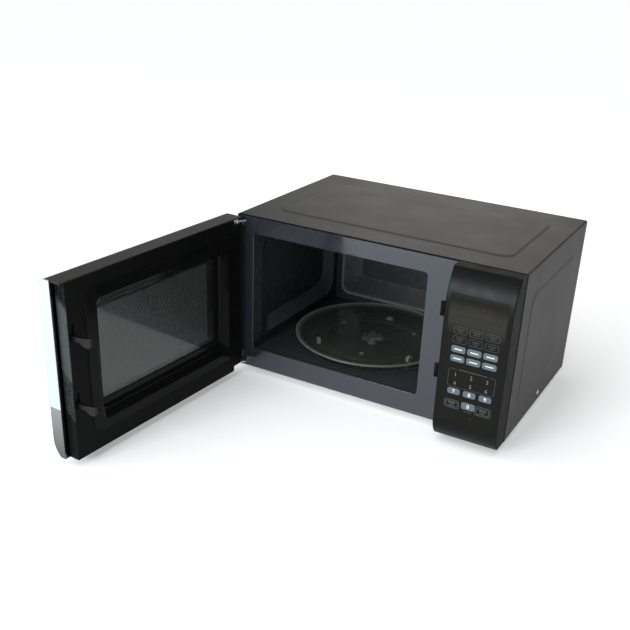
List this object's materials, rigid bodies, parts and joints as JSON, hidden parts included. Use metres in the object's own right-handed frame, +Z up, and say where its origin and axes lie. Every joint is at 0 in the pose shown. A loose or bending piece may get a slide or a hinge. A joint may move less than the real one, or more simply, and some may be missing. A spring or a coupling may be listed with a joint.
{
  "type": "microwave oven",
  "caption": "Countertop microwave oven with a side-hinged pull door, glass turntable on a roller ring, hook latch and a keypad panel on the right.",
  "frame": {"origin": "on the worktop plane under the middle of the cabinet, door left out", "axes": "+X to the user's right, +Y to the back, +Z up"},
  "size_m": [0.496, 0.6613, 0.263],
  "materials": {
    "case_paint": "satin charcoal powder coat",
    "front_enamel": "semi-gloss blue-grey enamel",
    "cavity_enamel": "semi-gloss dark blue-grey enamel",
    "galvanised": "zinc-coated steel sheet",
    "screw_steel": "bright zinc plating",
    "spring_steel": "bright drawn steel",
    "screen_steel": "grey perforated sheet",
    "core_iron": "varnished laminations",
    "copper": "enamelled copper wire",
    "fin_aluminium": "plain aluminium",
    "foot_rubber": "matte black rubber",
    "panel_plastic": "fine satin texture",
    "membrane": "satin printed film",
    "display_lens": "dark tinted lens",
    "door_front": "gloss black",
    "door_plastic": "satin black",
    "choke_plastic": "satin black",
    "hook_plastic": "brown-grey acetal",
    "white_plastic": "natural white",
    "ring_plastic": "brown heat-proof plastic",
    "clear_plastic": "translucent",
    "switch_red": "red",
    "mica": "silvery mica sheet",
    "circuit_board": "green laminate",
    "polished_trim": "polished",
    "door_glass": "dark mirror-tinted glass",
    "plate_glass": "clear greenish glass",
    "clear_film": "clear gloss film",
    "lamp_glass": "clear bulb"
  },
  "bodies": {
    "cabinet": {"outer_case": "case_paint", "base_plate": "galvanised", "feet": "foot_rubber", "rear_panel": "case_paint", "side_screws": "screw_steel", "rear_screws": "screw_steel", "front_plate": "front_enamel", "hinge_bracket_lower": "galvanised", "hinge_bracket_upper": "galvanised", "cavity_left_wall": "cavity_enamel", "cavity_right_wall": "cavity_enamel", "cavity_ceiling": "cavity_enamel", "cavity_floor": "cavity_enamel", "cavity_back_wall": "cavity_enamel", "waveguide_cover": "mica", "control_panel": "panel_plastic", "keypad_membrane": "membrane", "display_window": "display_lens", "control_board": "circuit_board", "interlock_bracket": "white_plastic", "interlock_switches": "choke_plastic", "turntable_motor": "galvanised", "waveguide": "galvanised", "magnetron_yoke": "galvanised", "magnetron_tube": "fin_aluminium", "magnetron_filter": "galvanised", "transformer_core": "core_iron", "transformer_windings": "copper", "capacitor": "fin_aluminium", "diode": "choke_plastic", "fan_shroud": "galvanised", "fan_motor": "core_iron", "filter_board": "circuit_board", "mains_gland": "choke_plastic", "thermal_cutouts": "white_plastic", "lamp_holder": "galvanised", "lamp": "lamp_glass"},
    "door": {"door_shell": "door_front", "door_glass": "door_glass", "door_end_trim": "polished_trim", "door_frame": "door_plastic", "choke_cover": "choke_plastic", "door_inner_panel": "galvanised", "door_screen": "screen_steel", "door_film": "clear_film", "hinge_bushes": "white_plastic", "latch_spring": "spring_steel"},
    "latch": {"latch_bar": "hook_plastic"},
    "turntable": {"turntable_plate": "plate_glass", "turntable_coupler": "clear_plastic", "motor_shaft": "white_plastic"},
    "roller_ring": {"roller_ring": "ring_plastic"},
    "roller_1": {"roller_1": "white_plastic"},
    "roller_2": {"roller_2": "white_plastic"},
    "roller_3": {"roller_3": "white_plastic"},
    "fan": {"fan_blades": "choke_plastic", "fan_shaft": "spring_steel"},
    "plunger_1": {"switch_plunger_1": "switch_red"},
    "plunger_2": {"switch_plunger_2": "switch_red"},
    "plunger_3": {"switch_plunger_3": "switch_red"}
  },
  "joints": [
    {"name": "door_hinge", "type": "hinge", "parent": "cabinet", "child": "door", "pos_m": [-0.223, -0.1605, 0.1365], "axis": [0, 0, -1], "range_deg": [-93.3, 12]},
    {"name": "latch_slide", "type": "slide", "parent": "door", "child": "latch", "axis": [0, 0, 1], "range_m": [0, 0.006], "stiffness_N_per_m": 100, "springref_m": -0.01, "deforming": ["latch_spring"]},
    {"name": "turntable_spin", "type": "hinge", "parent": "cabinet", "child": "turntable", "pos_m": [-0.055, -0.0035, 0.05], "axis": [0, 0, 1], "continuous": true},
    {"name": "roller_ring_spin", "type": "hinge", "parent": "cabinet", "child": "roller_ring", "pos_m": [-0.055, -0.0035, 0.043], "axis": [0, 0, 1], "continuous": true},
    {"name": "roller_1_spin", "type": "hinge", "parent": "roller_ring", "child": "roller_1", "pos_m": [-0.06597, 0.08583, 0.043], "axis": [-0.1219, 0.9925, 0], "continuous": true},
    {"name": "roller_2_spin", "type": "hinge", "parent": "roller_ring", "child": "roller_2", "pos_m": [-0.12688, -0.05766, 0.043], "axis": [-0.7986, -0.6018, 0], "continuous": true},
    {"name": "roller_3_spin", "type": "hinge", "parent": "roller_ring", "child": "roller_3", "pos_m": [0.02785, -0.03867, 0.043], "axis": [0.9205, -0.3907, 0], "continuous": true},
    {"name": "fan_spin", "type": "hinge", "parent": "cabinet", "child": "fan", "pos_m": [0.158, 0.12, 0.171], "axis": [0, 1, 0], "continuous": true},
    {"name": "plunger_1_slide", "type": "slide", "parent": "cabinet", "child": "plunger_1", "axis": [0, 1, 0], "range_m": [0, 0.0012], "stiffness_N_per_m": 200, "springref_m": -0.002},
    {"name": "plunger_2_slide", "type": "slide", "parent": "cabinet", "child": "plunger_2", "axis": [0, 1, 0], "range_m": [0, 0.0012], "stiffness_N_per_m": 200, "springref_m": -0.002},
    {"name": "plunger_3_slide", "type": "slide", "parent": "cabinet", "child": "plunger_3", "axis": [0, 1, 0], "range_m": [0, 0.0012], "stiffness_N_per_m": 200, "springref_m": -0.002}
  ],
  "couplings": [
    {"joint": "roller_ring_spin", "follows": "turntable_spin", "ratio": 0.5},
    {"joint": "roller_1_spin", "follows": "turntable_spin", "ratio": -7.2581},
    {"joint": "roller_2_spin", "follows": "turntable_spin", "ratio": -7.2581},
    {"joint": "roller_3_spin", "follows": "turntable_spin", "ratio": -7.2581}
  ]
}
